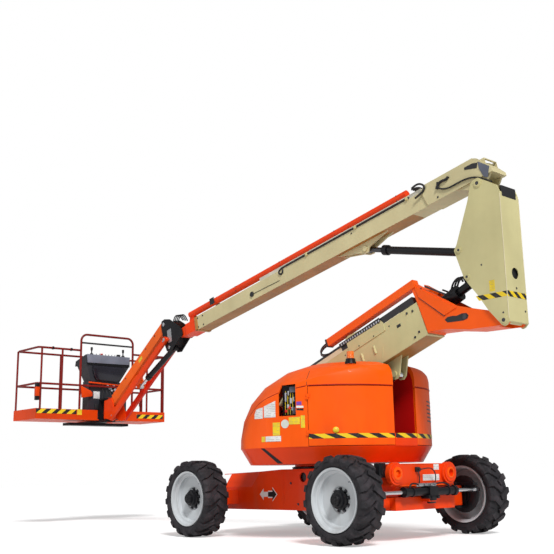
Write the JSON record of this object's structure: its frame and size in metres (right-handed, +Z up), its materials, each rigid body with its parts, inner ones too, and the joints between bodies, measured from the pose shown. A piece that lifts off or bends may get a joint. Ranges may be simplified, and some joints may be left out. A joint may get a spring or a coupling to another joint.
{
  "type": "articulating boom lift",
  "caption": "Articulating boom lift with a sliding tower boom, upright, telescoping main boom, jib and railed platform on a four-wheel chassis with a rounded turntable hood.",
  "frame": {"origin": "on the floor under the slew axis, midway between the axles", "axes": "+X along the machine from the platform end towards the steered axle, +Y across towards the flank away from the lower control window, +Z up"},
  "size_m": [8.811, 2.4874, 4.0073],
  "materials": {
    "orange": "gloss orange paint",
    "red": "dark red-orange paint",
    "cream": "satin cream paint",
    "black": "satin black paint",
    "chrome": "hard chrome",
    "rim_grey": "light grey paint",
    "tyre": "black tread rubber",
    "track": "black hose track",
    "plastic": "dark grey moulding",
    "amber": "amber lens"
  },
  "bodies": {
    "chassis": {"chassis_frame": "orange", "axle_fixed": "orange", "axle_steer": "orange", "steer_cylinder": "black"},
    "steer_rod": {"steer_rod": "chrome"},
    "knuckle_left": {"knuckle_left": "orange"},
    "knuckle_right": {"knuckle_right": "orange"},
    "wheel_front_left": {"tyre_front_left": "tyre", "rim_front_left": "rim_grey", "hub_front_left": "black"},
    "wheel_front_right": {"tyre_front_right": "tyre", "rim_front_right": "rim_grey", "hub_front_right": "black"},
    "wheel_rear_left": {"tyre_rear_left": "tyre", "rim_rear_left": "rim_grey", "hub_rear_left": "black"},
    "wheel_rear_right": {"tyre_rear_right": "tyre", "rim_rear_right": "rim_grey", "hub_rear_right": "black"},
    "turntable": {"turntable_frame": "orange", "counterweight": "orange", "hood_left": "orange", "hood_right": "orange", "engine_block": "black", "ground_control": "plastic", "beacon": "amber"},
    "door_left": {"door_left": "orange"},
    "door_right": {"door_right": "orange"},
    "tower": {"tower_base": "cream", "tower_track": "track"},
    "tower_fly": {"tower_fly": "orange"},
    "tower_ram_barrel": {"tower_ram_barrel": "black"},
    "tower_ram_rod": {"tower_ram_rod": "chrome"},
    "level_ram_barrel": {"level_ram_barrel": "black"},
    "level_ram_rod": {"level_ram_rod": "chrome"},
    "upright": {"upright": "cream"},
    "main_boom": {"main_boom": "cream", "boom_track": "track"},
    "lift_ram_barrel": {"lift_ram_barrel": "black"},
    "lift_ram_rod": {"lift_ram_rod": "chrome"},
    "fly_boom": {"fly_boom": "orange", "hose_tube": "orange"},
    "gooseneck": {"gooseneck": "black"},
    "jib_arm": {"jib_arm": "orange"},
    "jib_links": {"jib_link_left": "orange", "jib_link_right": "red"},
    "jib_ram_barrel": {"jib_ram_barrel": "black"},
    "jib_ram_rod": {"jib_ram_rod": "chrome"},
    "platform_support": {"platform_support": "black"},
    "platform": {"platform_mount": "black", "platform_floor": "orange", "platform_rails": "red", "platform_hoop": "red", "control_console": "plastic"},
    "gate": {"platform_gate": "red"}
  },
  "joints": [
    {"name": "slew", "type": "hinge", "parent": "chassis", "child": "turntable", "pos_m": [0, 0, 0.77], "axis": [0, 0, 1], "range_deg": [-180, 180]},
    {"name": "tower_lift", "type": "hinge", "parent": "turntable", "child": "tower", "pos_m": [-0.8, 0, 1.471], "axis": [0, -1, 0], "range_deg": [-18, 48]},
    {"name": "tower_extend", "type": "slide", "parent": "tower", "child": "tower_fly", "axis": [0.9397, 0, 0.342], "range_m": [0, 1.3]},
    {"name": "upright_level", "type": "hinge", "parent": "tower_fly", "child": "upright", "pos_m": [2.722, 0, 2.192], "axis": [0, -1, 0], "range_deg": [-48, 18]},
    {"name": "main_lift", "type": "hinge", "parent": "upright", "child": "main_boom", "pos_m": [2.518, 0, 3.695], "axis": [0, -1, 0], "range_deg": [-86, 4]},
    {"name": "main_extend", "type": "slide", "parent": "main_boom", "child": "fly_boom", "axis": [-0.9816, 0, -0.1908], "range_m": [0, 2.9]},
    {"name": "head_level", "type": "hinge", "parent": "fly_boom", "child": "gooseneck", "pos_m": [-2.9719, 0, 2.79902], "axis": [0, -1, 0], "range_deg": [-4, 86]},
    {"name": "jib_lift", "type": "hinge", "parent": "gooseneck", "child": "jib_arm", "pos_m": [-3.4, 0, 2.985], "axis": [0, 1, 0], "range_deg": [-19, 81]},
    {"name": "jib_link_turn", "type": "hinge", "parent": "gooseneck", "child": "jib_links", "pos_m": [-3.31, 0, 2.735], "axis": [0, 1, 0], "range_deg": [-19, 81]},
    {"name": "platform_level", "type": "hinge", "parent": "jib_arm", "child": "platform_support", "pos_m": [-4.88481, 0, 1.9153], "axis": [0, 1, 0], "range_deg": [-81, 19]},
    {"name": "platform_rotate", "type": "hinge", "parent": "platform_support", "child": "platform", "pos_m": [-5.06, 0, 1.64], "axis": [0, 0, 1], "range_deg": [-90, 90]},
    {"name": "gate_swing", "type": "hinge", "parent": "platform", "child": "gate", "pos_m": [-6, 1.198, 2.2], "axis": [0, 0, 1], "range_deg": [0, 85]},
    {"name": "tower_ram_swing", "type": "hinge", "parent": "turntable", "child": "tower_ram_barrel", "pos_m": [-0.33, 0, 1.01], "axis": [0, -1, 0], "range_deg": [-18.24, 48.63]},
    {"name": "tower_ram_stroke", "type": "slide", "parent": "tower_ram_barrel", "child": "tower_ram_rod", "axis": [0.8822, 0, 0.4709], "range_m": [-0.19393, 0.51699]},
    {"name": "level_ram_swing", "type": "hinge", "parent": "tower_fly", "child": "level_ram_barrel", "pos_m": [1.20026, 0, 2.2001], "axis": [0, -1, 0], "range_deg": [-0.384, 0.15]},
    {"name": "level_ram_stroke", "type": "slide", "parent": "level_ram_barrel", "child": "level_ram_rod", "axis": [0.9084, 0, 0.4181], "range_m": [-0.19633, 0.52339]},
    {"name": "lift_ram_swing", "type": "hinge", "parent": "upright", "child": "lift_ram_barrel", "pos_m": [2.223, 0, 3.019], "axis": [0, -1, 0], "range_deg": [-73.26, 3.42]},
    {"name": "lift_ram_stroke", "type": "slide", "parent": "lift_ram_barrel", "child": "lift_ram_rod", "axis": [-0.9757, 0, 0.2191], "range_m": [-0.04783, 1.02628]},
    {"name": "jib_ram_swing", "type": "hinge", "parent": "gooseneck", "child": "jib_ram_barrel", "pos_m": [-3.24, 0, 2.615], "axis": [0, -1, 0], "range_deg": [-71.95, 16.89]},
    {"name": "jib_ram_stroke", "type": "slide", "parent": "jib_ram_barrel", "child": "jib_ram_rod", "axis": [-0.8754, 0, -0.4834], "range_m": [-0.11371, 0.48444]},
    {"name": "steer_left", "type": "hinge", "parent": "chassis", "child": "knuckle_left", "pos_m": [1.25, -0.8175, 0.44], "axis": [0, 0, 1], "range_deg": [-30, 30]},
    {"name": "steer_right", "type": "hinge", "parent": "chassis", "child": "knuckle_right", "pos_m": [1.25, 0.8175, 0.44], "axis": [0, 0, 1], "range_deg": [-30, 30]},
    {"name": "steer_rod_slide", "type": "slide", "parent": "chassis", "child": "steer_rod", "axis": [0, 1, 0], "range_m": [-0.13267, 0.13267]},
    {"name": "spin_front_left", "type": "hinge", "parent": "knuckle_left", "child": "wheel_front_left", "pos_m": [1.25, -1.0675, 0.45], "axis": [0, 1, 0], "continuous": true},
    {"name": "spin_front_right", "type": "hinge", "parent": "knuckle_right", "child": "wheel_front_right", "pos_m": [1.25, 1.0675, 0.45], "axis": [0, 1, 0], "continuous": true},
    {"name": "spin_rear_left", "type": "hinge", "parent": "chassis", "child": "wheel_rear_left", "pos_m": [-1.25, -1.0675, 0.45], "axis": [0, 1, 0], "continuous": true},
    {"name": "spin_rear_right", "type": "hinge", "parent": "chassis", "child": "wheel_rear_right", "pos_m": [-1.25, 1.0675, 0.45], "axis": [0, 1, 0], "continuous": true},
    {"name": "door_left_swing", "type": "hinge", "parent": "turntable", "child": "door_left", "pos_m": [0.70631, -1.02769, 1.3], "axis": [0, 0, -1], "range_deg": [0, 80]},
    {"name": "door_right_swing", "type": "hinge", "parent": "turntable", "child": "door_right", "pos_m": [0.70631, 1.02769, 1.3], "axis": [0, 0, 1], "range_deg": [0, 80]}
  ],
  "couplings": [
    {"joint": "upright_level", "follows": "tower_lift", "ratio": -1},
    {"joint": "head_level", "follows": "main_lift", "ratio": -1},
    {"joint": "jib_link_turn", "follows": "jib_lift", "ratio": 1},
    {"joint": "platform_level", "follows": "jib_lift", "ratio": -1},
    {"joint": "tower_ram_swing", "follows": "tower_lift", "ratio": 1.013},
    {"joint": "tower_ram_stroke", "follows": "tower_lift", "m_per_rad": 0.61699},
    {"joint": "level_ram_swing", "follows": "tower_lift", "ratio": -0.0078},
    {"joint": "level_ram_stroke", "follows": "tower_lift", "m_per_rad": 0.62463},
    {"joint": "lift_ram_swing", "follows": "main_lift", "ratio": 0.8517},
    {"joint": "lift_ram_stroke", "follows": "main_lift", "m_per_rad": -0.68367},
    {"joint": "jib_ram_swing", "follows": "jib_lift", "ratio": -0.8882},
    {"joint": "jib_ram_stroke", "follows": "jib_lift", "m_per_rad": 0.3426},
    {"joint": "steer_right", "follows": "steer_left", "ratio": 1},
    {"joint": "steer_rod_slide", "follows": "steer_left", "m_per_rad": 0.25319}
  ]
}
